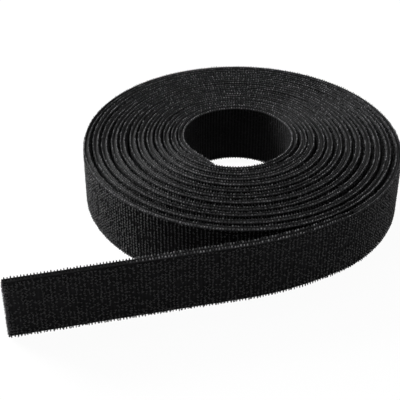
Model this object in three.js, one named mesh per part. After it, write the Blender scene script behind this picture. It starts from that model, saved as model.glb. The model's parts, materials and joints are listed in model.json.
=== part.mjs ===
// A coreless roll of double-sided hook and loop tape, standing on its edge turns, with its free end peeled off.
// The tape is three continuous strips bonded back to back: a woven hook web outside, a bond film, and a woven
// loop web inside. It is wound as one unbroken spiral, leaves the roll along a soft bend and runs out straight.
// Millimetres, +Z up along the roll's axis, the straight end of the tape lies along -X.
import * as THREE from 'three';

// Tape
const TAPE_WIDTH = 20;
const HOOK_WEB_THICKNESS = 0.75;
const BOND_FILM_THICKNESS = 0.2;
const LOOP_WEB_THICKNESS = 0.75;
const BOND_CLEARANCE = 0.1;

// Winding
const HOLE_RADIUS = 15.95;
const HOLE_SHIFT_X = -0.2;
const HOLE_SHIFT_Y = 2.8;
const TURNS = 11.77;
const TIGHT_TURN_GAP = 0.65;
const LOOSE_TURN_GAP = 1.17;
const STEPS_PER_TURN = 30;

// Free end
const TAIL_BEND_RADIUS = 92;
const TAIL_BEND_ANGLE = THREE.MathUtils.degToRad(19.5);
const TAIL_STRAIGHT_LENGTH = 64;
const BENT_COUNT = 3;
const STRAIGHT_COUNT = 5;
const STEPS_PER_BENT_LENGTH = 4;
const FOLD_SLIT = 0.8;

// The tape's layers, as offsets from its mid-plane, positive towards the outside of the roll
const TAPE_THICKNESS = HOOK_WEB_THICKNESS + BOND_FILM_THICKNESS + LOOP_WEB_THICKNESS + 2 * BOND_CLEARANCE;
const LOOP_FACE = -TAPE_THICKNESS / 2;
const LOOP_BACK = LOOP_FACE + LOOP_WEB_THICKNESS;
const HOOK_FACE = TAPE_THICKNESS / 2;
const HOOK_BACK = HOOK_FACE - HOOK_WEB_THICKNESS;

const LAYERS = [
  { name: 'hook_web', inner: HOOK_BACK, outer: HOOK_FACE, colour: 0x1d1d20, roughness: 0.85 },
  {
    name: 'bond_film',
    inner: LOOP_BACK + BOND_CLEARANCE,
    outer: HOOK_BACK - BOND_CLEARANCE,
    colour: 0x2b2b2b,
    roughness: 0.4,
  },
  { name: 'loop_web', inner: LOOP_FACE, outer: LOOP_BACK, colour: 0x141416, roughness: 0.95 },
];

// The spiral opens from the tight pitch at the hole to the loose pitch outside.
const TIGHT_PITCH = TAPE_THICKNESS + TIGHT_TURN_GAP;
const LOOSE_PITCH = TAPE_THICKNESS + LOOSE_TURN_GAP;
const FULL_TURN = 2 * Math.PI;

function windingRadius(turn) {
  const opening = (LOOSE_PITCH - TIGHT_PITCH) / (2 * TURNS);
  return HOLE_RADIUS + TAPE_THICKNESS / 2 + TIGHT_PITCH * turn + opening * turn * turn;
}

// The tape leaves the roll where its heading still has the whole bend left before it points along -X.
const PEEL_RADIUS = windingRadius(TURNS);
const PEEL_SLOPE = Math.atan2(LOOSE_PITCH / FULL_TURN, PEEL_RADIUS);
const PEEL_ANGLE = TAIL_BEND_ANGLE - Math.PI / 2 - PEEL_SLOPE;
const PEEL_HEADING = TAIL_BEND_ANGLE - Math.PI;

// A station is a point of the mid-plane in plan, with the direction that faces out of the roll there. The turns
// drift from the middle of the hole to the middle of the roll as they go out.
function windingStation(angleFromPeel) {
  const angle = PEEL_ANGLE + angleFromPeel;
  const turn = TURNS - angleFromPeel / FULL_TURN;
  const out = new THREE.Vector2(Math.cos(angle), Math.sin(angle));
  const middle = new THREE.Vector2(HOLE_SHIFT_X, HOLE_SHIFT_Y).multiplyScalar(1 - turn / TURNS);
  return { point: middle.addScaledVector(out, windingRadius(turn)), out };
}

// Equal steps counted from the peel line keep the flats of neighbouring turns parallel.
function windingStations() {
  const first = FOLD_SLIT / 2 / PEEL_RADIUS;
  const last = TURNS * FULL_TURN;
  const step = FULL_TURN / STEPS_PER_TURN;
  const angles = [first];
  for (let angle = step; angle < last - step / 2; angle += step) {
    angles.push(angle);
  }
  angles.push(last);
  return angles.reverse().map(windingStation);
}

// A length of the free end starts at its fold along +X, with the hook side towards +Y, and bends to the loop side.
function tailStation(distance, bendRadius) {
  const turned = distance / bendRadius;
  const out = new THREE.Vector2(Math.sin(turned), Math.cos(turned));
  const straight = bendRadius === Infinity;
  const along = straight ? distance : bendRadius * Math.sin(turned);
  const aside = straight ? 0 : bendRadius * (Math.cos(turned) - 1);
  return { point: new THREE.Vector2(along, aside), out };
}

function tailStations(start, end, bendRadius, steps) {
  const stations = [];
  for (let i = 0; i <= steps; i += 1) {
    stations.push(tailStation(THREE.MathUtils.lerp(start, end, i / steps), bendRadius));
  }
  return stations;
}

function offsetPoint(station, offset) {
  return station.point.clone().addScaledVector(station.out, offset);
}

// One layer as a closed strip: a rectangle of the layer's thickness and the tape's width, carried along stations
// that run towards the free end, with both cut ends closed.
function stripGeometry(stations, layer) {
  const positions = [];
  for (const station of stations) {
    const inner = offsetPoint(station, layer.inner);
    const outer = offsetPoint(station, layer.outer);
    positions.push(inner.x, inner.y, 0, outer.x, outer.y, 0);
    positions.push(outer.x, outer.y, TAPE_WIDTH, inner.x, inner.y, TAPE_WIDTH);
  }
  const cornerCount = 4;
  const indices = [];
  const addQuad = (a, b, c, d) => indices.push(a, b, c, a, c, d);
  for (let i = 0; i + 1 < stations.length; i += 1) {
    for (let side = 0; side < cornerCount; side += 1) {
      const next = (side + 1) % cornerCount;
      const here = i * cornerCount;
      const ahead = here + cornerCount;
      addQuad(here + side, here + next, ahead + next, ahead + side);
    }
  }
  const section = [...Array(cornerCount).keys()];
  const end = (stations.length - 1) * cornerCount;
  addQuad(...section.toReversed());
  addQuad(...section.map((corner) => end + corner));
  const geometry = new THREE.BufferGeometry();
  geometry.setAttribute('position', new THREE.Float32BufferAttribute(positions, 3));
  geometry.setIndex(indices);
  geometry.computeVertexNormals();
  return geometry;
}

function addLayers(group, prefix, stations) {
  for (const layer of LAYERS) {
    const material = new THREE.MeshStandardMaterial({ color: layer.colour, roughness: layer.roughness });
    const mesh = new THREE.Mesh(stripGeometry(stations, layer), material);
    mesh.name = `${prefix}_${layer.name}`;
    group.add(mesh);
  }
}

// Least distance from a strip's outer face to its own inner face, over points at least half a turn apart.
function leastGapToItself(stations, inner, outer) {
  const apart = STEPS_PER_TURN / 2;
  let least = Infinity;
  for (let i = 0; i < stations.length; i += 1) {
    const face = offsetPoint(stations[i], outer);
    for (let j = i + apart; j < stations.length; j += 1) {
      least = Math.min(least, face.distanceTo(offsetPoint(stations[j], inner)));
    }
  }
  return least;
}

function printWindingGaps(stations) {
  for (const layer of LAYERS) {
    const gap = leastGapToItself(stations, layer.inner, layer.outer);
    console.log(`winding_${layer.name}: least gap to itself ${gap.toFixed(2)} mm`);
  }
  const tapeGap = leastGapToItself(stations, LOOP_FACE, HOOK_FACE);
  console.log(`whole tape: least gap between turns ${tapeGap.toFixed(2)} mm`);
}

// The roll itself
function buildWinding() {
  const winding = new THREE.Group();
  const stations = windingStations();
  addLayers(winding, 'winding', stations);
  printWindingGaps(stations);
  return winding;
}

// The free end: a chain of short lengths, each hung on the fold at the end of the one before. Folds are upright
// lines in the tape's mid-plane, and each takes half its slit from both neighbours.
function buildTail() {
  const bentLength = (TAIL_BEND_RADIUS * TAIL_BEND_ANGLE) / BENT_COUNT;
  const straightLength = TAIL_STRAIGHT_LENGTH / STRAIGHT_COUNT;
  const count = BENT_COUNT + STRAIGHT_COUNT;
  const tail = new THREE.Group();
  tail.position.set(PEEL_RADIUS * Math.cos(PEEL_ANGLE), PEEL_RADIUS * Math.sin(PEEL_ANGLE), 0);
  tail.rotation.z = PEEL_HEADING;
  let fold = tail;
  for (let i = 1; i <= count; i += 1) {
    const bent = i <= BENT_COUNT;
    const length = bent ? bentLength : straightLength;
    const bendRadius = bent ? TAIL_BEND_RADIUS : Infinity;
    const steps = bent ? STEPS_PER_BENT_LENGTH : 1;
    const cut = i === count ? length : length - FOLD_SLIT / 2;
    addLayers(fold, `tail_${i}`, tailStations(FOLD_SLIT / 2, cut, bendRadius, steps));
    const next = new THREE.Group();
    const nextFold = tailStation(length, bendRadius).point;
    next.position.set(nextFold.x, nextFold.y, 0);
    next.rotation.z = -length / bendRadius;
    if (i < count) {
      fold.add(next);
      fold = next;
    }
  }
  return tail;
}

// The assembly stands on the plane z = 0 with the middle of its box over the origin.
const roll = new THREE.Group();
roll.add(buildWinding(), buildTail());
roll.updateMatrixWorld(true);
const middle = new THREE.Box3().setFromObject(roll, true).getCenter(new THREE.Vector3());
roll.position.set(-middle.x, -middle.y, 0);

export default roll;
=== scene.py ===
import json
import math

import bpy
import numpy as np
from mathutils import Matrix, Vector


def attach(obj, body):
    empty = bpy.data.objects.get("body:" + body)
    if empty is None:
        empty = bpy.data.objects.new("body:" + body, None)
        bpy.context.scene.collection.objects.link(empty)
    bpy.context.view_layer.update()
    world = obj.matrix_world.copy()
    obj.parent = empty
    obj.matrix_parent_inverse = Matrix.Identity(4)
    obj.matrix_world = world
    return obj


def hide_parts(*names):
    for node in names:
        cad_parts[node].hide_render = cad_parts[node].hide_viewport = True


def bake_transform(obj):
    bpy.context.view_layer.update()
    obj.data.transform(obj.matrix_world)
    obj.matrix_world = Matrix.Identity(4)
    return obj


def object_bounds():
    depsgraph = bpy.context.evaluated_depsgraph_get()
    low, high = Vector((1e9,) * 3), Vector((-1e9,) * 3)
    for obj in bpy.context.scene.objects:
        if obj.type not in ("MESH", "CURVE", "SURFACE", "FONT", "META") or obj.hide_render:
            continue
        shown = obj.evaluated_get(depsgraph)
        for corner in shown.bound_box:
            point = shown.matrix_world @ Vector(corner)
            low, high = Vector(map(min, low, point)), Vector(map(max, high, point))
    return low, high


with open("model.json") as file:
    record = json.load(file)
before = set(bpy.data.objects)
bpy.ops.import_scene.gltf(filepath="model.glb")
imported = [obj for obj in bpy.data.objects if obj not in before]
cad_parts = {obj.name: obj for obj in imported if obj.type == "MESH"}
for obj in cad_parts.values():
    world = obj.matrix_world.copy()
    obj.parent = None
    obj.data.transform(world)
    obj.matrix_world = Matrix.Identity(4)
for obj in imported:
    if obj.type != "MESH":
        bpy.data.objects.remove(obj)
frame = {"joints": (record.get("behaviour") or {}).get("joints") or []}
cad_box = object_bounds()

# Bond film of the rolled part
# The film is a thin black layer of adhesive that joins the two woven webs back to back. It is one strip
# from the inner end of the roll to the cut, and shows only as the dark seam between the edges of a turn.
MM = 0.001
FULL_TURN = 2 * math.pi
TAPE_WIDTH = cad_box[1].z
TAPE_THICKNESS = 1.9 * MM
HOLE_RADIUS = 15.95 * MM
HOLE_SHIFT = np.array([-0.2, 2.8]) * MM
TURNS = 11.77
TIGHT_PITCH = 2.55 * MM
LOOSE_PITCH = 3.07 * MM
INNER_REACH = 0.07
INNER_PRESS = 1.9 * MM
TAIL_BEND_RADIUS = 92 * MM
TAIL_BEND_ANGLE = math.radians(19.5)
PAST_THE_CUT = 5 * MM
WOUND_POINTS = 24000
FREE_POINTS = 1200

folds = [np.array(joint["pos_m"][:2]) for joint in frame["joints"]]
peel_point = folds[0]
cut_end_x = cad_box[0].x


def tape_course():
    """Mid-plane of the tape in plan, its length so far, its turns so far, and the axis of the roll.

    A spiral whose pitch opens evenly and whose middle drifts from the hole to the roll, then an arc that
    takes the heading round to -X, then a straight line to a little past the cut. The inner end reaches a
    little further round than the CAD's and is pressed out into the next turn.
    """
    turn = np.linspace(-INNER_REACH, TURNS, WOUND_POINTS)
    opening = (LOOSE_PITCH - TIGHT_PITCH) / (2 * TURNS)
    radius = HOLE_RADIUS + TAPE_THICKNESS / 2 + TIGHT_PITCH * turn + opening * turn**2
    radius += INNER_PRESS * np.clip(-turn / INNER_REACH, 0, 1) ** 2
    slope = math.atan2(LOOSE_PITCH / FULL_TURN, radius[-1])
    angle = TAIL_BEND_ANGLE - math.pi / 2 - slope + FULL_TURN * (TURNS - turn)
    arm = radius[:, None] * np.stack([np.cos(angle), np.sin(angle)], 1)
    spiral = arm + HOLE_SHIFT * (1 - turn / TURNS)[:, None]
    spiral += peel_point - spiral[-1]
    heading = np.linspace(TAIL_BEND_ANGLE, 0, FREE_POINTS)[1:] - math.pi
    start = TAIL_BEND_ANGLE - math.pi
    arc = np.stack([np.sin(start) - np.sin(heading), np.cos(heading) - np.cos(start)], 1)
    arc = peel_point + TAIL_BEND_RADIUS * arc
    straight_x = np.linspace(arc[-1, 0], cut_end_x - PAST_THE_CUT, FREE_POINTS)[1:]
    straight = np.stack([straight_x, np.full_like(straight_x, arc[-1, 1])], 1)
    points = np.concatenate([spiral, arc, straight])
    steps = np.linalg.norm(np.diff(points, axis=0), axis=1)
    return points, np.concatenate([[0], np.cumsum(steps)]), turn, peel_point - arm[-1]


course, course_length, course_turn, roll_axis = tape_course()
peel_row = len(course_turn) - 1
course_tangent = np.gradient(course, course_length, axis=0)
peel_length = course_length[peel_row]
cut_length = course_length[-1] - PAST_THE_CUT
TURN_LIFT = 0.22 * MM
TURN_LIFT_PERIOD = 173 * MM
TURN_SWAY = 0.11 * MM
TURN_SWAY_PERIODS = (61 * MM, 97 * MM)
SETTLING_TURNS = 4


def tape_point(length, aside, height):
    """Points of the tape at a length from the inner end, moved aside along the outward normal, at a height.

    The turns don't lie quite true: slow sine waves lift and sway them, and die out over the outermost ones.
    """
    length, aside, height = np.broadcast_arrays(length, aside, height)
    wavy = np.clip((peel_length - length) / (SETTLING_TURNS * peel_length / TURNS), 0, 1)
    lift = TURN_LIFT * (0.5 + 0.5 * np.sin(FULL_TURN * length / TURN_LIFT_PERIOD))
    sway = sum(np.sin(FULL_TURN * length / period) for period in TURN_SWAY_PERIODS)
    aside = aside + wavy * TURN_SWAY * sway
    along_x = np.interp(length, course_length, course_tangent[:, 0])
    along_y = np.interp(length, course_length, course_tangent[:, 1])
    x = np.interp(length, course_length, course[:, 0]) - along_y * aside
    y = np.interp(length, course_length, course[:, 1]) + along_x * aside
    return np.stack([x, y, height + wavy * lift], -1)


def strip(length, aside, height):
    """Closed strip: a section of corners, given by aside and height, carried along the tape's lengths.

    Each section joins the next by quads. Both ends have a cap with its own points, so that no shading runs
    round the cut. UV is the length and the height.
    """
    length = length[:, None]
    points = tape_point(length, aside, height)
    rows, corners = points.shape[:2]
    index = np.arange((rows + 2) * corners).reshape(rows + 2, corners)
    following = np.roll(index, -1, axis=1)
    quads = np.stack([index, following, np.roll(following, -1, axis=0), np.roll(index, -1, axis=0)], -1)
    caps = np.stack([index[-2, ::-1], index[-1]])
    uv = np.stack(np.broadcast_arrays(length, np.broadcast_to(height, (rows, corners))), -1)
    capped = [np.concatenate([values, values[[0, -1]]]) for values in (points, uv)]
    return capped[0].reshape(-1, 3), capped[1].reshape(-1, 2), [quads[: rows - 1].reshape(-1, 4), caps]


def make_piece(name, shapes, finish):
    """One mesh from several shapes, whose points, UVs and faces are stacked one after another."""
    points = np.concatenate([shape[0] for shape in shapes])
    uv = np.concatenate([shape[1] for shape in shapes])
    first_point = np.cumsum([0] + [len(shape[0]) for shape in shapes[:-1]])
    faces = [face + first for shape, first in zip(shapes, first_point) for face in shape[2]]
    corners = np.concatenate([face.ravel() for face in faces])
    sizes = np.concatenate([np.full(len(face), face.shape[1]) for face in faces])
    mesh = bpy.data.meshes.new(name)
    mesh.vertices.add(len(points))
    mesh.vertices.foreach_set("co", points.astype(np.float32).ravel())
    mesh.loops.add(len(corners))
    mesh.loops.foreach_set("vertex_index", corners.astype(np.int32))
    mesh.polygons.add(len(sizes))
    mesh.polygons.foreach_set("loop_start", (np.cumsum(sizes) - sizes).astype(np.int32))
    mesh.polygons.foreach_set("use_smooth", np.ones(len(sizes), bool))
    mesh.uv_layers.new(name="tape").data.foreach_set("uv", uv[corners].astype(np.float32).ravel())
    mesh.materials.append(finish)
    mesh.update(calc_edges=True)
    piece = bpy.data.objects.new(name, mesh)
    bpy.context.scene.collection.objects.link(piece)
    return piece


class Shade:
    """A shader value: an output socket whose arithmetic adds Math nodes to its tree."""

    def __init__(self, tree, socket=None):
        self.tree = tree
        self.socket = socket

    def node(self, kind, settings, sockets, output=0):
        """Adds a node, sets its settings, then its sockets' values or links, and wraps one output."""
        made = self.tree.nodes.new(kind)
        for setting, value in settings.items():
            setattr(made, setting, value)
        for socket, value in sockets.items():
            if isinstance(value, Shade):
                self.tree.links.new(value.socket, made.inputs[socket])
            else:
                made.inputs[socket].default_value = value
        return Shade(self.tree, made.outputs[output] if made.outputs else None)

    def math(self, operation, *operands):
        """Adds a Math node."""
        return self.node("ShaderNodeMath", {"operation": operation}, dict(enumerate(operands)))

    def __add__(self, other):
        return self.math("ADD", self, other)

    def __sub__(self, other):
        return self.math("SUBTRACT", self, other)

    def __rsub__(self, other):
        return self.math("SUBTRACT", other, self)

    def __mul__(self, other):
        return self.math("MULTIPLY", self, other)

    __radd__ = __add__
    __rmul__ = __mul__


def new_finish(name):
    """An empty material and the Shade that starts its tree."""
    finish = bpy.data.materials.new(name)
    finish.use_nodes = True
    finish.node_tree.nodes.clear()
    return finish, Shade(finish.node_tree)


def close_finish(start, surface):
    """Joins a surface shader to the material's output."""
    start.node("ShaderNodeOutputMaterial", {}, {"Surface": surface})


def tape_place(start):
    """Place on the tape, from the UV map: the length along it and the height across it, in metres."""
    return start.node("ShaderNodeUVMap", {"uv_map": "tape"}, {})


def noise(place, scale, detail):
    """Soft noise over a place, with so many grains to the metre."""
    return place.node("ShaderNodeTexNoise", {}, {"Vector": place, "Scale": scale, "Detail": detail})


def mix_colour(start, factor, dark, light):
    """A colour between two, by a factor from 0 to 1."""
    return start.node("ShaderNodeMix", {"data_type": "RGBA"}, {"Factor": factor, 6: dark, 7: light}, 2)


FILM_COLOUR = (0.008, 0.008, 0.008, 1)
FILM_ROUGHNESS = 0.42
RIPPLE_GRAIN = 700.0
RIPPLE_ROUGHNESS = 0.2
FILM_HALF = 0.1 * MM
FILM_INSET = 1.2 * MM
PICK = 1.1 * MM
COARSE_STEP = 2 * PICK


def film_finish():
    """Black adhesive film: dark and half glossy, with faint ripples."""
    finish, start = new_finish("bond_film_black")
    ripple = noise(tape_place(start), RIPPLE_GRAIN, detail=2.0)
    surface = start.node(
        "ShaderNodeBsdfPrincipled",
        {},
        {"Base Color": FILM_COLOUR, "Roughness": FILM_ROUGHNESS + RIPPLE_ROUGHNESS * ripple},
    )
    close_finish(start, surface)
    return finish


film_black = film_finish()


def film_strip(start, end):
    """The film between two lengths: a thin rectangle that stops short of the web's edges."""
    length = np.linspace(start, end, 2 + int((end - start) / COARSE_STEP))
    aside = np.array([-FILM_HALF, FILM_HALF, FILM_HALF, -FILM_HALF])
    height = np.array([FILM_INSET, FILM_INSET, TAPE_WIDTH - FILM_INSET, TAPE_WIDTH - FILM_INSET])
    return strip(length, aside, height)


def to_pick(length):
    """The nearest valley between two picks of the weave."""
    return PICK * np.round(length / PICK)


layer_pieces = {"bond_film": [], "hook_web": [], "loop_web": []}


def join_layer(piece, layer):
    """Puts a piece among the pieces that go with that layer's strip."""
    layer_pieces[layer].append(piece)


ROLL_MARGIN = 5 * MM
roll_end = to_pick(peel_length - ROLL_MARGIN)
bond_film = make_piece("bond_film_roll", [film_strip(0, roll_end)], film_black)
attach(bond_film, "winding")
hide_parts("winding_bond_film")
join_layer(bond_film, "bond_film")

# Hook web of the rolled part
# The outer web is woven from black nylon, and its stout picks make the upright ribs on the outside of the
# roll. It is bonded to the film by its back, and its upper and lower edges stop short of the picots.
WEB_INSET = 0.6 * MM
ROLL_LOWER_INSET = 0.6 * MM
TAIL_LOWER_INSET = 1.0 * MM
WEB_BACK_INSET = 1.1 * MM
WEB_BACK = 0.12 * MM
WEB_FACE = 0.5 * MM
RIB_HEIGHT = 0.28 * MM
TURN_SEAM = 0.25 * MM
HOOK_BULK = 1.2 * MM
BULK_INSET = 1.4 * MM
BULK_SLOPE = 0.4 * MM
BULK_SETTLING = 4 * COARSE_STEP
FACE_POINTS = 32
FINE_STEP = PICK / 4
RIB_SHARES = (0.65, 1.0)
weave_draw = np.random.default_rng(7)
pick_count = int(course_length[-1] / PICK) + 2
pick_unevenness = weave_draw.uniform(*RIB_SHARES, (pick_count, FACE_POINTS))


def web_lengths(start, end, fine_start, fine_end):
    """Lengths of the web's sections: four to a pick where it shows, and one every two picks elsewhere."""
    before = np.arange(start, min(fine_start, end) - COARSE_STEP / 2, COARSE_STEP)
    fine_from, fine_to = max(start, fine_start), min(end, fine_end)
    fine = np.linspace(fine_from, fine_to, 1 + max(0, round((fine_to - fine_from) / FINE_STEP)))
    after = np.arange(max(fine_end, start) + COARSE_STEP, end + COARSE_STEP / 2, COARSE_STEP)
    return np.concatenate([before, fine, after])


def turn_spacing(length):
    """Distance from the tape's middle to that of the turn inside it."""
    turn = np.interp(length, course_length[: peel_row + 1], course_turn)
    spiral_x, spiral_y = course[: peel_row + 1].T
    apart_x = np.interp(turn, course_turn, spiral_x) - np.interp(turn - 1, course_turn, spiral_x)
    apart_y = np.interp(turn, course_turn, spiral_y) - np.interp(turn - 1, course_turn, spiral_y)
    return np.hypot(apart_x, apart_y)


def web_reach(length, side):
    """How far the tips of the hooks or the pile reach from the tape's middle in the gap between turns.

    The hooks reach a fixed way, and the pile reaches the rest of the way to them, less the seam.
    """
    if side > 0:
        return np.full_like(length, HOOK_BULK)
    return turn_spacing(length) - HOOK_BULK - TURN_SEAM


def lower_inset(length):
    """Height of the webs' lower edges: low over the pressed picots of the roll, higher in the free end."""
    free = np.clip((length - roll_end) / ROLL_MARGIN, 0, 1)
    return ROLL_LOWER_INSET + (TAIL_LOWER_INSET - ROLL_LOWER_INSET) * free


def web_strip(length, side, shown):
    """The woven ground of one web, on the outer side (+1) or the inner side (-1) of the film.

    Its face has a round rib for every pick, higher and lower from crossing to crossing. Where the web is
    hidden between turns, its face swells to the tips of the hooks or the pile, which nearly fill the gap.
    """
    height = np.linspace(lower_inset(length), TAPE_WIDTH - WEB_INSET, FACE_POINTS, axis=1)
    rise = np.abs(np.sin(math.pi * length / PICK))
    pick = np.clip((length / PICK).astype(int), 0, pick_count - 1)
    ribs = RIB_HEIGHT * rise[:, None] * pick_unevenness[pick]
    from_edge = np.minimum(height, TAPE_WIDTH - height)
    swell = np.clip((from_edge - BULK_INSET) / BULK_SLOPE, 0, 1)
    settling = np.clip((roll_end - length) / BULK_SETTLING, 0, 1)
    bulk = ((web_reach(length, side) - WEB_FACE) * settling)[:, None] * swell
    face = WEB_FACE + np.where(shown[:, None], ribs, bulk)
    back = np.full((len(length), 2), WEB_BACK)
    aside = side * np.concatenate([face, back], 1)
    back_height = np.broadcast_to([TAPE_WIDTH - WEB_BACK_INSET, WEB_BACK_INSET], back.shape)
    heights = np.concatenate([height, back_height], 1)
    if side < 0:
        aside, heights = aside[:, ::-1], heights[:, ::-1]
    return strip(length, aside, heights)


WEB_DARK = (0.003, 0.003, 0.0032, 1)
WEB_LIGHT = (0.026, 0.026, 0.028, 1)
WEB_GLOSS = 0.04
WARP_PITCH = 0.55 * MM
# Painted shadow: the hook face is dark up to and in the wedge under the free end, and plain after it.
WEDGE_SHADE_START = peel_length - 278 * MM
WEDGE_SHADE_END = peel_length - 220 * MM
WEDGE_SHADE_TONE = 0.08
# Painted light on the wound-up faces that stand for the tips between the turns.
WOUND_PAINTED_LIGHT = 4.0
RIB_SHADE_FADE_START = peel_length - 60 * MM
RIB_SHADE_FADE_SHARE = 0.75
RIB_SHADE_FADE_LIFT = 0.2
FIBRE_GRAIN = 2600.0
FIBRE_TONE = 0.9
FIBRE_RELIEF = 0.8
FIBRE_ROUGHNESS = 0.2
YARN_GRAIN = 1300.0
YARN_CONTRAST = 3.0
YARN_TONE = 0.5
WEAVE_PATCH_GRAIN = 160.0
WEAVE_PATCH_TONE = 0.2
WARP_TONE = 0.1
WARP_RELIEF = 0.5
WEAVE_RELIEF = 0.12 * MM
WEAVE_BUMP = 0.6


def along_tape(start):
    """Length along the tape, from the inner end."""
    return start.node("ShaderNodeSeparateXYZ", {}, {"Vector": tape_place(start)}, "X")


def across_tape(start):
    """Height across the tape, or for the tips between the turns, how far aside of its middle they stand."""
    return start.node("ShaderNodeSeparateXYZ", {}, {"Vector": tape_place(start)}, "Y")


def ramp(value, low, high, at_low=0.0, at_high=1.0):
    """A shader value carried from one range to another in a straight line, and held beyond its ends."""
    sockets = {"Value": value, "From Min": low, "From Max": high, "To Min": at_low, "To Max": at_high}
    return value.node("ShaderNodeMapRange", {}, sockets)


def wedge_shade(start):
    """A factor of painted shadow: dark on the hook face up to and in the wedge under the free end where it
    leaves the roll, and plain after it.
    """
    return ramp(along_tape(start), WEDGE_SHADE_START, WEDGE_SHADE_END, WEDGE_SHADE_TONE)


def wound_tips_light(start, wound_from, wound_to):
    """A factor of painted light: lightens the web where it is wound up and its face stands for the hook or
    pile tips, as the light they catch in the gaps.
    """
    along = along_tape(start)
    begun = ramp(along, wound_from, wound_from + ROLL_MARGIN, 0.0, WOUND_PAINTED_LIGHT)
    ended = ramp(along, wound_to, wound_to - ROLL_MARGIN)
    return 1 + begun * ended


def woven_finish(name, dark, light, roughness, wound_from, wound_to, painted_shading=None):
    """Black woven nylon, with painted shade between the picks and lighter on them, and a fine bump of warps
    and fibres.

    Towards the peel line the painted shade between the picks fades, and the web gets a little lighter.
    Where a factor of painted shade is given, it multiplies the tone from place to place.
    """
    finish, start = new_finish(name)
    place = tape_place(start)
    along = along_tape(start)
    warp = start.math("SINE", across_tape(start) * (FULL_TURN / WARP_PITCH))
    weft = start.math("SINE", along * (2 * FULL_TURN / PICK))
    # Painted shade: dark in the valleys between the picks and light on them.
    rib_shading = 0.5 - 0.5 * start.math("COSINE", along * (FULL_TURN / PICK))
    # The painted valley shade fades towards the peel line and stays faded in the free end.
    rib_shade_fading = ramp(along, RIB_SHADE_FADE_START, peel_length, 0.0, RIB_SHADE_FADE_SHARE)
    rib_shading = rib_shading + rib_shade_fading * (0.5 - rib_shading)
    fibre = noise(place, FIBRE_GRAIN, detail=3.0)
    yarn = 0.5 + YARN_CONTRAST * (noise(place, YARN_GRAIN, detail=1.0) - 0.5)
    patch = noise(place, WEAVE_PATCH_GRAIN, detail=2.0)
    weave = patch * (WEAVE_PATCH_TONE + FIBRE_TONE * fibre + YARN_TONE * yarn) + WARP_TONE * warp
    tone = (1 + RIB_SHADE_FADE_LIFT * rib_shade_fading) * rib_shading * weave * wound_tips_light(start, wound_from, wound_to)
    if painted_shading:
        tone = tone * painted_shading(start)
    relief = WARP_RELIEF * warp * weft + FIBRE_RELIEF * fibre
    depth = {"Strength": WEAVE_BUMP, "Distance": WEAVE_RELIEF, "Height": relief}
    bump = start.node("ShaderNodeBump", {}, depth)
    surface = start.node(
        "ShaderNodeBsdfPrincipled",
        {},
        {
            "Base Color": mix_colour(start, tone, dark, light),
            "Roughness": roughness + FIBRE_ROUGHNESS * fibre,
            "Specular IOR Level": WEB_GLOSS,
            "Normal": bump,
        },
    )
    close_finish(start, surface)
    return finish


def winding_length(turns):
    """Length of tape in so many turns, counted from the inner end."""
    return to_pick(np.interp(turns, course_turn, course_length[: peel_row + 1]))


SHOWN_OUTER_TURNS = 1.06
WEB_ROUGHNESS = 0.5
outer_turn_start = winding_length(TURNS - SHOWN_OUTER_TURNS)
hook_black = woven_finish(
    "hook_web_black_painted_shade", WEB_DARK, WEB_LIGHT, WEB_ROUGHNESS, -ROLL_MARGIN, outer_turn_start, wedge_shade
)
hook_lengths = web_lengths(0, roll_end, outer_turn_start, roll_end)
hook_ground = web_strip(hook_lengths, 1, hook_lengths >= outer_turn_start)
hook_web = make_piece("hook_web_roll", [hook_ground], hook_black)
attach(hook_web, "winding")
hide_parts("winding_hook_web")
join_layer(hook_web, "hook_web")

# Loop web of the rolled part
# The inner web is woven in the same way from black nylon, and its face carries the soft loop pile. It is
# bonded to the other side of the film, and shows on the wall of the hole.
LOOP_DARK = (0.002, 0.002, 0.0022, 1)
LOOP_LIGHT = (0.04, 0.04, 0.041, 1)
LOOP_ROUGHNESS = 0.6
SHOWN_INNER_TURNS = 1.1

inner_turn_end = winding_length(SHOWN_INNER_TURNS)
loop_black = woven_finish("loop_web_black_painted_shade", LOOP_DARK, LOOP_LIGHT, LOOP_ROUGHNESS, inner_turn_end, roll_end)
loop_lengths = web_lengths(0, roll_end, 0, inner_turn_end)
loop_ground = web_strip(loop_lengths, -1, loop_lengths <= inner_turn_end)
loop_web = make_piece("loop_web_roll", [loop_ground], loop_black)
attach(loop_web, "winding")
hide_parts("winding_loop_web")
join_layer(loop_web, "loop_web")

# Edge yarns and picots of the rolled part
# A nylon yarn runs along each edge of each web, and the weft that turns back there stands up from it in
# small loops, light with painted sheen. From above they show as two light dotted lines on every turn.
EDGE_YARN_RADIUS = 0.17 * MM
EDGE_YARN_ASIDE = 0.69 * MM
EDGE_YARN_DRIFT = 0.09 * MM
EDGE_DRIFT_PERIODS = (237 * MM, 151 * MM)
EDGE_YARN_SIDES = 6
PICOT_PITCH = 0.87 * MM
PICOT_WIDTH = 0.18 * MM
PICOT_RADIUS = 0.12 * MM
PRESSED_RISE = 0.65 * MM
FREE_RISE = 0.9 * MM
PICOT_SIDES = 4
PICOT_POINTS = 7
PICOT_PLAY = 0.04 * MM
PICOT_RISE_SHARES = (0.8, 1.0)
PICOT_TWIST = math.radians(25)
PICOT_LEAN = 0.1 * MM
PICOT_ROUNDNESS = 0.8


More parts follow.
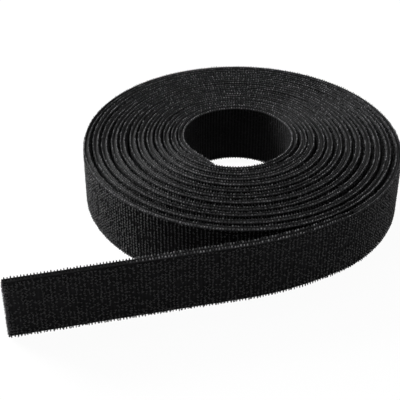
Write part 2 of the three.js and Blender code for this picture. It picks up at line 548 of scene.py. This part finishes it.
def tubes(lines, reference, radius, sides):
    """Tubes round many short lines at once: a ring square to the line at each point, and capped ends.

    lines is (tube, point, axis). A ring starts on the side that is square to the line and to the reference.
    """
    tangent = np.gradient(lines, axis=1)
    tangent /= np.linalg.norm(tangent, axis=-1, keepdims=True)
    aside = np.cross(tangent, reference)
    aside /= np.linalg.norm(aside, axis=-1, keepdims=True)
    upward = np.cross(tangent, aside)
    turn = (np.arange(sides) * FULL_TURN / sides)[:, None]
    ring = np.cos(turn) * aside[:, :, None] + np.sin(turn) * upward[:, :, None]
    points = lines[:, :, None] + radius * ring
    index = np.arange(points[..., 0].size).reshape(points.shape[:3])
    following = np.roll(index, -1, axis=2)
    quads = np.stack([index[:, :-1], following[:, :-1], following[:, 1:], index[:, 1:]], -1)
    caps = np.concatenate([index[:, 0, ::-1], index[:, -1]])
    return points.reshape(-1, 3), [quads.reshape(-1, 4), caps]


def edge_aside(length, side):
    """Place of the edge yarns beside the tape's middle: nearer and further by two slow sine waves."""
    drift = sum(np.sin(FULL_TURN * length / period + side) for period in EDGE_DRIFT_PERIODS)
    return side * (EDGE_YARN_ASIDE + EDGE_YARN_DRIFT * drift)


def edge_yarn(start, end, side, upper, step):
    """The yarn along the upper or lower edge of one web: a round strip."""
    length = np.linspace(start, end, 2 + int((end - start) / step))
    turn = np.arange(EDGE_YARN_SIDES) * FULL_TURN / EDGE_YARN_SIDES
    middle = TAPE_WIDTH - WEB_INSET if upper else lower_inset(length)[:, None]
    aside = edge_aside(length, side)[:, None] + EDGE_YARN_RADIUS * np.cos(turn)
    return strip(length, aside, middle + EDGE_YARN_RADIUS * np.sin(turn))


def picots(start, end, side, upper):
    """The row of picots on one edge of one web: tall narrow arches, evenly spaced along the edge yarn.

    They differ in height, and each is turned a little about its upright middle line and leans a little.
    Winding presses those of the roll lower than those of the free end.
    """
    number = np.arange(math.ceil(start / PICOT_PITCH), math.ceil(end / PICOT_PITCH))[:, None]
    draw = np.random.default_rng([number[0, 0], upper, side > 0])
    middle = number * PICOT_PITCH + draw.normal(0, PICOT_PLAY, number.shape)
    size = draw.uniform(*PICOT_RISE_SHARES, number.shape)
    twist = draw.normal(0, PICOT_TWIST, number.shape)
    lean = draw.normal(0, PICOT_LEAN, number.shape)
    turn = np.linspace(0, math.pi, PICOT_POINTS)
    bow = np.cos(turn) * PICOT_WIDTH / 2
    length = middle - bow * np.cos(twist)
    free = np.clip((length - roll_end) / ROLL_MARGIN, 0, 1)
    rise = PRESSED_RISE + (FREE_RISE - PRESSED_RISE) * free if upper else lower_inset(length)
    climb = (rise - PICOT_RADIUS) * size * np.sin(turn) ** PICOT_ROUNDNESS
    height = TAPE_WIDTH - WEB_INSET + climb if upper else rise - climb
    aside = edge_aside(length, side) + bow * np.sin(twist) + lean * np.sin(turn)
    lines = tape_point(length, aside, height)
    facing = tape_point(middle + np.sin(twist) * MM, np.cos(twist) * MM, 0) - tape_point(middle, 0, 0)
    points, faces = tubes(lines, np.broadcast_to(facing, lines.shape), PICOT_RADIUS, PICOT_SIDES)
    uv = np.stack(np.broadcast_arrays(length, height), -1)
    return points, np.repeat(uv.reshape(-1, 2), PICOT_SIDES, axis=0), faces


PICOT_DARK = (0.006, 0.006, 0.0065, 1)
# The light grey of the black nylon picots is painted sheen.
PICOT_SHEEN_LIGHT = (0.225, 0.225, 0.232, 1)
PICOT_ROUGHNESS = 0.45
PICOT_GLOSS = 0.1
PICOT_GRAIN = 1500.0
FILAMENT_ROUGHNESS = 0.25
GLINT_LEAST = 0.15
GLINT_SWING = 2.4
RIM_GLINT_LEAST = 0.3
RIM_GLINT_SWING = 2.6
TIP_START = 0.45 * MM
TIP_END = 0.1 * MM
FOOT_SHADE_TONE = 0.04
FREED_TONE = 2.5
FADE_START = cut_length - 40 * MM
FADE_END = cut_length - 32 * MM
FADED_TONE = 0.06


def object_place(start):
    """Place in the object's own coordinates."""
    return start.node("ShaderNodeTexCoord", {}, {}, "Object")


def edge_finish(name, draw_offset, highlight_from, highlight_to, highlight_ends, highlight_tone):
    """Black nylon yarn of the edges, with painted sheen: a painted highlight on the tips of the picots and
    along the turn at the rim, and painted shade at their feet.

    Some picots are brighter than others by chance. They get brighter where the tape comes free, and dull
    towards the cut end.
    """
    finish, start = new_finish(name)
    along = along_tape(start)
    across = across_tape(start)
    # Painted highlight on the tips of the picots, and painted shade at their feet and on the edge yarn.
    lit_tip = ramp(start.math("MINIMUM", across, TAPE_WIDTH - across), TIP_START, TIP_END, FOOT_SHADE_TONE)
    # Painted highlight along the edge yarn and picots of the turn at the rim.
    rim_highlight = ramp(along, highlight_from - highlight_ends, highlight_from, 0.0, highlight_tone) * ramp(along, highlight_to + highlight_ends, highlight_to)
    freed = ramp(along, peel_length, FADE_START, 1.0, FREED_TONE)
    fade = ramp(along, FADE_START, FADE_END, 1.0, FADED_TONE)
    filament = noise(object_place(start), PICOT_GRAIN, detail=2.0)
    number = start.math("ROUND", along * (1 / PICOT_PITCH)) + draw_offset
    chance = start.node("ShaderNodeTexWhiteNoise", {"noise_dimensions": "1D"}, {"W": number})
    bright = chance * chance
    glint = filament * (GLINT_LEAST + GLINT_SWING * bright)
    rim_glint = rim_highlight * (RIM_GLINT_LEAST + RIM_GLINT_SWING * bright)
    tone = fade * freed * lit_tip * (glint + rim_glint)
    surface = start.node(
        "ShaderNodeBsdfPrincipled",
        {},
        {
            "Base Color": mix_colour(start, tone, PICOT_DARK, PICOT_SHEEN_LIGHT),
            "Roughness": PICOT_ROUGHNESS + FILAMENT_ROUGHNESS * filament,
            "Specular IOR Level": PICOT_GLOSS,
        },
    )
    close_finish(start, surface)
    return finish


# Painted highlights along the outer rim of the roll and the rim of the hole.
OUTER_RIM_STOP = 0.6
OUTER_RIM_ENDS = 20 * MM
OUTER_RIM_HIGHLIGHT = 0.42
HOLE_RIM_TURNS = 0.85
HOLE_RIM_ENDS = 10 * MM
HOLE_RIM_HIGHLIGHT = 0.6
outer_rim_end = winding_length(TURNS - OUTER_RIM_STOP)
hole_rim_end = winding_length(HOLE_RIM_TURNS)
hook_edge_black_painted_highlights = edge_finish(
    "hook_edge_black_painted_highlights", 0.25, outer_turn_start, outer_rim_end, OUTER_RIM_ENDS, OUTER_RIM_HIGHLIGHT
)
loop_edge_black_painted_highlights = edge_finish("loop_edge_black_painted_highlights", 0.75, 0, hole_rim_end, HOLE_RIM_ENDS, HOLE_RIM_HIGHLIGHT)
for upper in (True, False):
    edge = "upper" if upper else "lower"
    hook_edge = [edge_yarn(0, roll_end, 1, upper, COARSE_STEP), picots(0, roll_end, 1, upper)]
    loop_edge = [edge_yarn(0, roll_end, -1, upper, COARSE_STEP), picots(0, roll_end, -1, upper)]
    hook_picots = make_piece(f"hook_web_picots_{edge}", hook_edge, hook_edge_black_painted_highlights)
    loop_picots = make_piece(f"loop_web_picots_{edge}", loop_edge, loop_edge_black_painted_highlights)
    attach(hook_picots, "winding")
    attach(loop_picots, "winding")
    join_layer(hook_picots, "hook_web")
    join_layer(loop_picots, "loop_web")

# Hooks on the outside of the roll
# The hooks are stiff nylon filaments, woven in as loops on every pick and cut open on one side after heat
# setting. They stand in upright columns, thick and thin in turn, and leave a plain strip along both edges.
HOOK_ZONE = 0.85 * MM
HOOK_SPACING = 0.5 * MM
HOOK_RADIUS = 0.14 * MM
HOOK_SIDES = 3
THICK_COLUMN_SHARE = 1.0
THIN_COLUMN_SHARE = 0.8
TAIL_THIN_SHARE = 0.7
ROLL_HOOK_BEARING = math.radians(90)
ROLL_HOOK_PLAY = 0.4
TAIL_HOOK_BEARING = math.radians(20)
TAIL_HOOK_PLAY = 0.8
HOOK_PATCH_PERIOD = 13 * MM
HOOK_PATCH_SWING = 0.25
HOOK_PATCH_BEND = 2
HOOK_PATCH_SKEW = 1.7
HOOK_PLAY_ALONG = 0.06 * MM
HOOK_PLAY_ACROSS = 0.1 * MM
HOOK_RISE_SHARES = (0.75, 1.05)
HOOK_LEAN = np.array([0.0, 0.02, 0.14, 0.34, 0.44]) * MM
HOOK_RISE = np.array([-0.05, 0.24, 0.42, 0.4, 0.24]) * MM


def hooks(start, end, thin_share, bearing, play):
    """Cut hooks on the outer face between two lengths: canes that rise, lean to one side and turn down.

    The hooks of a column lean along the bearing and against it in turn, with some play in place and
    direction. Some are missing by chance, more of them in patches that sine waves give.
    """
    column = np.arange(round(start / PICK), math.ceil(end / PICK - 0.5))
    row = np.arange(HOOK_ZONE, TAPE_WIDTH - HOOK_ZONE, HOOK_SPACING)
    draw = np.random.default_rng(column[0])
    column, row_number = (grid.ravel()[:, None] for grid in np.meshgrid(column, np.arange(len(row))))
    share = np.where(column % 2 == 0, THICK_COLUMN_SHARE, thin_share)
    patch = FULL_TURN / HOOK_PATCH_PERIOD * np.stack([column * PICK, row[row_number]])
    bent = np.sin(patch[0] + HOOK_PATCH_BEND * np.sin(patch[1]))
    skewed = np.sin(HOOK_PATCH_SKEW * patch[1] - patch[0])
    share = share * (1 - HOOK_PATCH_SWING + HOOK_PATCH_SWING * bent * skewed)
    kept = (draw.random(column.shape) < share).ravel()
    length = (column[kept] + 0.5) * PICK
    height = row[row_number[kept]]
    lean_side = row_number[kept] % 2
    shape = length.shape
    length = length + draw.normal(0, HOOK_PLAY_ALONG, shape)
    height = height + draw.normal(0, HOOK_PLAY_ACROSS, shape)
    bearing = bearing + math.pi * lean_side + draw.normal(0, play, shape)
    tall = draw.uniform(*HOOK_RISE_SHARES, shape)
    lengths = length + np.cos(bearing) * HOOK_LEAN
    heights = height + np.sin(bearing) * HOOK_LEAN
    asides = WEB_FACE + RIB_HEIGHT / 2 + tall * HOOK_RISE
    lines = tape_point(lengths, asides, heights)
    across = tape_point(length - np.sin(bearing) * MM, WEB_FACE, height + np.cos(bearing) * MM)
    reference = across - tape_point(length, WEB_FACE, height)
    points, faces = tubes(lines, np.broadcast_to(reference, lines.shape), HOOK_RADIUS, HOOK_SIDES)
    uv = np.concatenate([length, height], 1)
    return points, np.repeat(uv, HOOK_SIDES * len(HOOK_LEAN), axis=0), faces


HOOK_DARK = (0.006, 0.006, 0.0065, 1)
HOOK_LIGHT = (0.036, 0.036, 0.038, 1)
HOOK_ROUGHNESS = 0.3
HOOK_GLOSS = 0.35
# The hooks get brighter over the last stretch before the cut end.
CUT_END_BRIGHTENING_START = cut_length - 60 * MM
CUT_END_BRIGHTENING_TONE = 1.6
FILAMENT_GRAIN = 2200.0
FILAMENT_LEAST = 0.4
YARN_PATCH_GRAIN = 260.0
YARN_PATCH_LEAST = 0.2
YARN_PATCH_SWING = 1.4


def hook_shade_and_brightening(start):
    """Painted shadow in the wedge under the free end, and brighter towards the cut end."""
    return wedge_shade(start) * ramp(along_tape(start), CUT_END_BRIGHTENING_START, cut_length, 1.0, CUT_END_BRIGHTENING_TONE)


def yarn_finish(name, dark, light, roughness, gloss, painted_shading=None):
    """Nylon yarn: a soft gloss, some hooks or loops brighter than others by chance, with filaments in them.

    Where a factor of painted shade is given, it multiplies the tone, darker or lighter from place to place.
    """
    finish, start = new_finish(name)
    place = object_place(start)
    root = tape_place(start)
    chance = start.node("ShaderNodeTexWhiteNoise", {"noise_dimensions": "2D"}, {"Vector": root})
    filament = noise(place, FILAMENT_GRAIN, detail=2.0)
    patch = noise(place, YARN_PATCH_GRAIN, detail=2.0)
    tone = chance * (FILAMENT_LEAST + filament) * (YARN_PATCH_LEAST + YARN_PATCH_SWING * patch)
    if painted_shading:
        tone = tone * painted_shading(start)
    surface = start.node(
        "ShaderNodeBsdfPrincipled",
        {},
        {
            "Base Color": mix_colour(start, tone, dark, light),
            "Roughness": roughness + FILAMENT_ROUGHNESS * filament,
            "Specular IOR Level": gloss,
        },
    )
    close_finish(start, surface)
    return finish


filament_black = yarn_finish(
    "hook_filament_black_painted_shade", HOOK_DARK, HOOK_LIGHT, HOOK_ROUGHNESS, HOOK_GLOSS, hook_shade_and_brightening
)
hook_field = hooks(outer_turn_start, roll_end, THIN_COLUMN_SHARE, ROLL_HOOK_BEARING, ROLL_HOOK_PLAY)
roll_hooks = make_piece("hooks_roll", [hook_field], filament_black)
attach(roll_hooks, "winding")
join_layer(roll_hooks, "hook_web")

# Loop pile on the wall of the hole
# The pile is a brushed layer of fine nylon loops that stand up from the inner web and lean every way. On
# the roll, only the innermost turn shows it.
PILE_ZONE = 1.5 * MM
PILE_PER_AREA = 1.3 / MM**2
PILE_RADIUS = 0.06 * MM
PILE_SIDES = 3
PILE_SPAN = 0.5 * MM
PILE_RISE = 0.36 * MM
PILE_POINTS = 5
PILE_SPAN_SHARES = (0.6, 1.2)
PILE_RISE_SHARES = (0.6, 1.0)


def loop_pile(start, end):
    """Loops of the pile on the inner face between two lengths: low half sine arches, strewn by chance."""
    draw = np.random.default_rng(int(end / PICK))
    count = int(PILE_PER_AREA * (end - start) * (TAPE_WIDTH - 2 * PILE_ZONE))
    shape = (count, 1)
    length = draw.uniform(start, end, shape)
    height = draw.uniform(PILE_ZONE, TAPE_WIDTH - PILE_ZONE, shape)
    bearing = draw.uniform(0, math.pi, shape)
    turn = np.linspace(0, math.pi, PILE_POINTS)
    span = PILE_SPAN * draw.uniform(*PILE_SPAN_SHARES, shape)
    lengths = length - np.cos(bearing) * span / 2 * np.cos(turn)
    heights = height - np.sin(bearing) * span / 2 * np.cos(turn)
    asides = -WEB_FACE - PILE_RISE * draw.uniform(*PILE_RISE_SHARES, shape) * np.sin(turn)
    lines = tape_point(lengths, asides, heights)
    across_length = length - np.sin(bearing) * MM
    across_height = height + np.cos(bearing) * MM
    reference = tape_point(across_length, -WEB_FACE, across_height) - tape_point(length, -WEB_FACE, height)
    points, faces = tubes(lines, np.broadcast_to(reference, lines.shape), PILE_RADIUS, PILE_SIDES)
    uv = np.concatenate([length, height], 1)
    return points, np.repeat(uv, PILE_SIDES * PILE_POINTS, axis=0), faces


PILE_DARK = (0.002, 0.002, 0.002, 1)
PILE_LIGHT = (0.06, 0.06, 0.062, 1)
PILE_ROUGHNESS = 0.6
PILE_GLOSS = 0.04
pile_black = yarn_finish("loop_pile_black", PILE_DARK, PILE_LIGHT, PILE_ROUGHNESS, PILE_GLOSS)
roll_pile = make_piece("loop_pile_hole", [loop_pile(0, inner_turn_end)], pile_black)
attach(roll_pile, "winding")
join_layer(roll_pile, "loop_web")

# Tips of hooks and pile between the turns
# Wound up, the hooks of each turn press into the pile of the next. Their outermost tips fill the gaps
# between the turns, and show as grey fuzz on both ends of the roll, with a thin dark seam where they meet.
# Their grey is partly painted light, and they carry painted shade deep in the gaps and next to the seam.
FUZZ_PER_LENGTH = 3.6 / MM
FUZZ_RADIUS = 0.085 * MM
FUZZ_SPREAD = 0.15
FUZZ_POINTS = 4
FUZZ_SIDES = 3
FUZZ_OUTWARD_SHARES = (0.1, 1.0)
FUZZ_HALF_SPANS = (0.1, 0.22)
FUZZ_RISES = (0.85, 1.15)
FUZZ_SLOPE = 0.5
FUZZ_ROOT = BULK_INSET + 0.2 * MM


def edge_fuzz(start, end, side, upper):
    """Tips beside one edge of one web: small upright arches, strewn by chance between the web and the seam.

    They stand in clumps beside the picots, highest at the web and lower towards the seam. UV is the length
    and how far aside of the tape's middle they stand.
    """
    draw = np.random.default_rng([side > 0, upper, FUZZ_SIDES])
    shape = (int(FUZZ_PER_LENGTH * (end - start)), 1)
    picot = draw.integers(math.ceil(start / PICOT_PITCH), int(end / PICOT_PITCH), shape)
    length = (picot + draw.normal(0, FUZZ_SPREAD, shape)) * PICOT_PITCH
    reach = web_reach(length, side) - FUZZ_RADIUS
    outward = draw.uniform(*FUZZ_OUTWARD_SHARES, shape)
    aside = side * (WEB_FACE + (reach - WEB_FACE) * outward)
    bearing = draw.uniform(0, math.pi, shape)
    turn = np.linspace(0, math.pi, FUZZ_POINTS)
    half = draw.uniform(*FUZZ_HALF_SPANS, shape) * MM
    lengths = length - np.cos(bearing) * half * np.cos(turn)
    asides = side * np.minimum(side * (aside - np.sin(bearing) * half * np.cos(turn)), reach)
    rise = draw.uniform(*FUZZ_RISES, shape) - FUZZ_SLOPE * outward
    depth = FUZZ_ROOT - rise * MM * np.sin(turn)
    heights = TAPE_WIDTH - depth if upper else depth
    lines = tape_point(lengths, asides, heights)
    across = tape_point(length - np.sin(bearing) * MM, aside + np.cos(bearing) * MM, 0)
    reference = across - tape_point(length, aside, 0)
    points, faces = tubes(lines, np.broadcast_to(reference, lines.shape), FUZZ_RADIUS, FUZZ_SIDES)
    uv = np.concatenate([length, aside], 1)
    return points, np.repeat(uv, FUZZ_POINTS * FUZZ_SIDES, axis=0), faces


FUZZ_DARK = (0.006, 0.006, 0.0063, 1)
# The light grey of the black nylon tips is painted light, lifting them against the shade in the gaps.
FUZZ_PAINTED_LIGHT = (0.2, 0.2, 0.206, 1)
FUZZ_ROUGHNESS = 0.5
FUZZ_GLOSS = 0.1
# Painted shade on the tips deep between the turns and next to the seam.
DEEP_START = 1.6 * MM
DEEP_END = 0.6 * MM
DEEP_SHADE_TONE = 0.05
SEAM_START = 1.1 * MM
SEAM_END = 0.7 * MM
SEAM_SHADE_TONE = 0.25


def tip_painted_shade(start):
    """Painted shade: plain at the tape's edges and beside its webs, and darker deep between the turns and
    along the seam.
    """
    height = start.node("ShaderNodeSeparateXYZ", {}, {"Vector": object_place(start)}, "Z")
    depth = start.math("MINIMUM", height, TAPE_WIDTH - height)
    aside = start.math("ABSOLUTE", across_tape(start))
    return ramp(depth, DEEP_START, DEEP_END, DEEP_SHADE_TONE) * ramp(aside, SEAM_START, SEAM_END, SEAM_SHADE_TONE)


fuzz_black = yarn_finish("edge_fuzz_black_painted_shade", FUZZ_DARK, FUZZ_PAINTED_LIGHT, FUZZ_ROUGHNESS, FUZZ_GLOSS, tip_painted_shade)
for upper in (True, False):
    edge = "upper" if upper else "lower"
    hook_tips = edge_fuzz(0, outer_turn_start, 1, upper)
    pile_tips = edge_fuzz(inner_turn_end, roll_end, -1, upper)
    hook_fuzz = make_piece(f"hook_tips_{edge}", [hook_tips], fuzz_black)
    loop_fuzz = make_piece(f"pile_tips_{edge}", [pile_tips], fuzz_black)
    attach(hook_fuzz, "winding")
    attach(loop_fuzz, "winding")
    join_layer(hook_fuzz, "hook_web")
    join_layer(loop_fuzz, "loop_web")

# Free end
# The peeled end is the same tape: both webs with their edge yarns and picots, the film, the hooks and the
# pile. Each stretch reaches from the middle of one CAD length to that of the next.
fold_rows = [np.argmin(np.linalg.norm(course[peel_row:] - fold, axis=1)) + peel_row for fold in folds]
fold_lengths = [course_length[row] for row in fold_rows] + [cut_length]
stretch_middles = [roll_end] + [
    to_pick((here + there) / 2) for here, there in zip(fold_lengths[:-1], fold_lengths[1:])
]
stretch_bounds = stretch_middles[:-1] + [cut_length]


def across_fold(piece, number, layer):
    """Bakes the transform of a piece of the free end, which reaches from the middle of one length to that
    of the next, and puts it among its layer's pieces.
    """
    start = tape_point(stretch_middles[number - 1], 0, TAPE_WIDTH / 2)
    end = tape_point(stretch_middles[number], 0, TAPE_WIDTH / 2)
    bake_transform(piece)
    join_layer(piece, layer)


for number in range(1, len(folds) + 1):
    start, end = stretch_bounds[number - 1], stretch_bounds[number]
    lengths = web_lengths(start, end, start, end)
    shown = np.ones(len(lengths), bool)
    hook_edge = [edge_yarn(start, end, 1, upper, PICK) for upper in (True, False)]
    hook_edge += [picots(start, end, 1, upper) for upper in (True, False)]
    loop_edge = [edge_yarn(start, end, -1, upper, PICK) for upper in (True, False)]
    loop_edge += [picots(start, end, -1, upper) for upper in (True, False)]
    free_film = make_piece(f"bond_film_tail_{number}", [film_strip(start, end)], film_black)
    free_hook = make_piece(f"hook_web_tail_{number}", [web_strip(lengths, 1, shown)], hook_black)
    free_loop = make_piece(f"loop_web_tail_{number}", [web_strip(lengths, -1, shown)], loop_black)
    free_hook_edge = make_piece(f"hook_web_picots_tail_{number}", hook_edge, hook_edge_black_painted_highlights)
    free_loop_edge = make_piece(f"loop_web_picots_tail_{number}", loop_edge, loop_edge_black_painted_highlights)
    hook_field = hooks(start, end, TAIL_THIN_SHARE, TAIL_HOOK_BEARING, TAIL_HOOK_PLAY)
    free_hooks = make_piece(f"hooks_tail_{number}", [hook_field], filament_black)
    free_pile = make_piece(f"loop_pile_tail_{number}", [loop_pile(start, end)], pile_black)
    for piece in (free_hook, free_hook_edge, free_hooks):
        across_fold(piece, number, "hook_web")
    for piece in (free_loop, free_loop_edge, free_pile):
        across_fold(piece, number, "loop_web")
    across_fold(free_film, number, "bond_film")
    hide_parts(f"tail_{number}_hook_web")
    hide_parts(f"tail_{number}_bond_film")
    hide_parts(f"tail_{number}_loop_web")

# Frayed yarn ends of the cut
# The tape is cut straight across without a seal, so the ends of the warp yarns of both webs stand out a
# little from the cut and look lighter than the face. They are part of the last length.
FRAY_COUNT = 240
FRAY_RADIUS = 0.08 * MM
FRAY_SIDES = 3
FRAY_POINTS = 3
FRAY_REACHES = (0.1, 0.35)
FRAY_ROOT_SHARE = 3
FRAY_ASIDES = (-WEB_FACE, 3 * WEB_FACE)
FRAY_SPREAD_ASIDE = 0.3
FRAY_SPREAD_UP = 0.4


def cut_fray():
    """Yarn ends over the whole cut, most of them at the hook face: stubs of chance length and direction."""
    draw = np.random.default_rng(FRAY_COUNT)
    shape = (FRAY_COUNT, 1)
    reach = np.linspace(-FRAY_ROOT_SHARE, 1, FRAY_POINTS) * draw.uniform(*FRAY_REACHES, shape) * MM
    aside = np.minimum(draw.uniform(*FRAY_ASIDES, shape), WEB_FACE + RIB_HEIGHT)
    height = draw.uniform(TAIL_LOWER_INSET, TAPE_WIDTH - WEB_INSET, shape)
    lines = tape_point(
        cut_length + reach,
        aside + draw.normal(0, FRAY_SPREAD_ASIDE, shape) * reach,
        height + draw.normal(0, FRAY_SPREAD_UP, shape) * reach,
    )
    upright = np.broadcast_to(np.array([0.0, 0.0, 1.0]), lines.shape)
    points, faces = tubes(lines, upright, FRAY_RADIUS, FRAY_SIDES)
    uv = np.concatenate([aside, height], 1)
    return points, np.repeat(uv, FRAY_POINTS * FRAY_SIDES, axis=0), faces


FRAY_DARK = (0.01, 0.01, 0.0105, 1)
FRAY_LIGHT = (0.3, 0.29, 0.3, 1)
FRAY_ROUGHNESS = 0.6
FRAY_GLOSS = 0.1
fray_grey = yarn_finish("frayed_yarn_grey", FRAY_DARK, FRAY_LIGHT, FRAY_ROUGHNESS, FRAY_GLOSS)
fray = make_piece("cut_end_fray", [cut_fray()], fray_grey)
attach(fray, frame["joints"][-1]["child"])
join_layer(fray, "hook_web")

# Strips of the tape as they were cut
# The widths of the webs and the film are worked out, and for each layer the pieces that go with its rolled
# piece, its stretches in the free end among them, are listed.
WEB_WIDTH = TAPE_WIDTH - WEB_INSET - ROLL_LOWER_INSET
FILM_WIDTH = TAPE_WIDTH - 2 * FILM_INSET
for rolled, layer, width, bonded_to in (
    (hook_web, "hook_web", WEB_WIDTH, bond_film),
    (bond_film, "bond_film", FILM_WIDTH, loop_web),
    (loop_web, "loop_web", WEB_WIDTH, bond_film),
):
    others = [piece for piece in layer_pieces[layer] if piece != rolled]

# Floor and light
# The roll lies on a plain white table under soft studio light: a broad lamp overhead, a stronger one from
# behind on the left, and a weak one from behind on the right.
FLOOR_HALF = 3.0
FLOOR_COLOUR = (0.82, 0.82, 0.82, 1)
FLOOR_GLOW = 0.96
AMBIENT = 0.06
WHITE = (1, 1, 1, 1)


def white_rays(start):
    """1 for rays from the camera and those that gloss or glass sends on, and 0 for light on the object."""
    camera_ray = start.node("ShaderNodeLightPath", {}, {}, "Is Camera Ray")
    glossy_ray = start.node("ShaderNodeLightPath", {}, {}, "Is Glossy Ray")
    clear_ray = start.node("ShaderNodeLightPath", {}, {}, "Is Transmission Ray")
    return camera_ray.math("MAXIMUM", camera_ray, glossy_ray.math("MAXIMUM", glossy_ray, clear_ray))


def floor_finish():
    """White table: it glows for the camera, to be as white as the backdrop, and keeps some shadow."""
    finish, start = new_finish("white_table")
    seen = white_rays(start)
    matt = start.node("ShaderNodeBsdfDiffuse", {}, {"Color": FLOOR_COLOUR})
    glow = start.node("ShaderNodeEmission", {}, {"Color": WHITE, "Strength": 1.0})
    surface = start.node("ShaderNodeMixShader", {}, {0: FLOOR_GLOW * seen, 1: matt, 2: glow})
    close_finish(start, surface)
    return finish


floor_points = np.array([[-1, -1, 0], [1, -1, 0], [1, 1, 0], [-1, 1, 0]]) * FLOOR_HALF
floor_shape = (floor_points, floor_points[:, :2], [np.array([[0, 1, 2, 3]])])
floor = make_piece("table", [floor_shape], floor_finish())

world = bpy.data.worlds.new("studio")
world.use_nodes = True
world.node_tree.nodes.clear()
sky = Shade(world.node_tree)
sky_strength = AMBIENT + (1 - AMBIENT) * white_rays(sky)
backdrop = sky.node("ShaderNodeBackground", {}, {"Color": WHITE, "Strength": sky_strength})
sky.node("ShaderNodeOutputWorld", {}, {"Surface": backdrop})
bpy.context.scene.world = world


def softbox(name, place, aim, size, watts, colour):
    """A square area lamp at a place, turned towards a point."""
    lamp = bpy.data.lights.new(name, "AREA")
    lamp.size = size
    lamp.energy = watts
    lamp.color = colour
    box = bpy.data.objects.new(name, lamp)
    box.location = place
    box.rotation_euler = (Vector(aim) - Vector(place)).to_track_quat("-Z", "Y").to_euler()
    bpy.context.scene.collection.objects.link(box)


ROLL_MIDDLE = (0.014, 0.002, 0.01)
NEUTRAL = (1, 1, 1)
BLUISH = (0.9, 0.93, 1)
softbox("overhead", place=(-0.12, 0.25, 0.65), aim=ROLL_MIDDLE, size=0.5, watts=2.6, colour=NEUTRAL)
softbox("left_back", place=(-0.46, 0.46, 0.33), aim=ROLL_MIDDLE, size=0.3, watts=15.0, colour=NEUTRAL)
softbox("right_back", place=(0.55, 0.3, 0.33), aim=ROLL_MIDDLE, size=0.4, watts=0.9, colour=BLUISH)

# Camera
# The photograph looks down on the roll from the front and a little to the left, through a long lens.
SENSOR = 36.0
IMAGE_WIDTH = 400
LENS_PIXELS = 1012.2
CAMERA_PITCH = math.radians(34.91)
CAMERA_YAW = math.radians(-13.838)
CAMERA_ROLL = math.radians(0.1)
CAMERA_FROM_AXIS = (-0.01232, -0.27219, 0.18641)
camera = bpy.data.objects.new("camera", bpy.data.cameras.new("camera"))
camera.data.sensor_width = SENSOR
camera.data.lens = SENSOR * LENS_PIXELS / IMAGE_WIDTH
axis_place = Matrix.Translation((*roll_axis, 0))
turn_round = Matrix.Rotation(CAMERA_YAW, 4, "Z")
tilt = Matrix.Rotation(math.pi / 2 - CAMERA_PITCH, 4, "X") @ Matrix.Rotation(CAMERA_ROLL, 4, "Z")
camera.matrix_world = axis_place @ turn_round @ Matrix.Translation(CAMERA_FROM_AXIS) @ tilt
bpy.context.scene.collection.objects.link(camera)
bpy.context.scene.camera = camera
bpy.context.scene.view_settings.view_transform = "Standard"
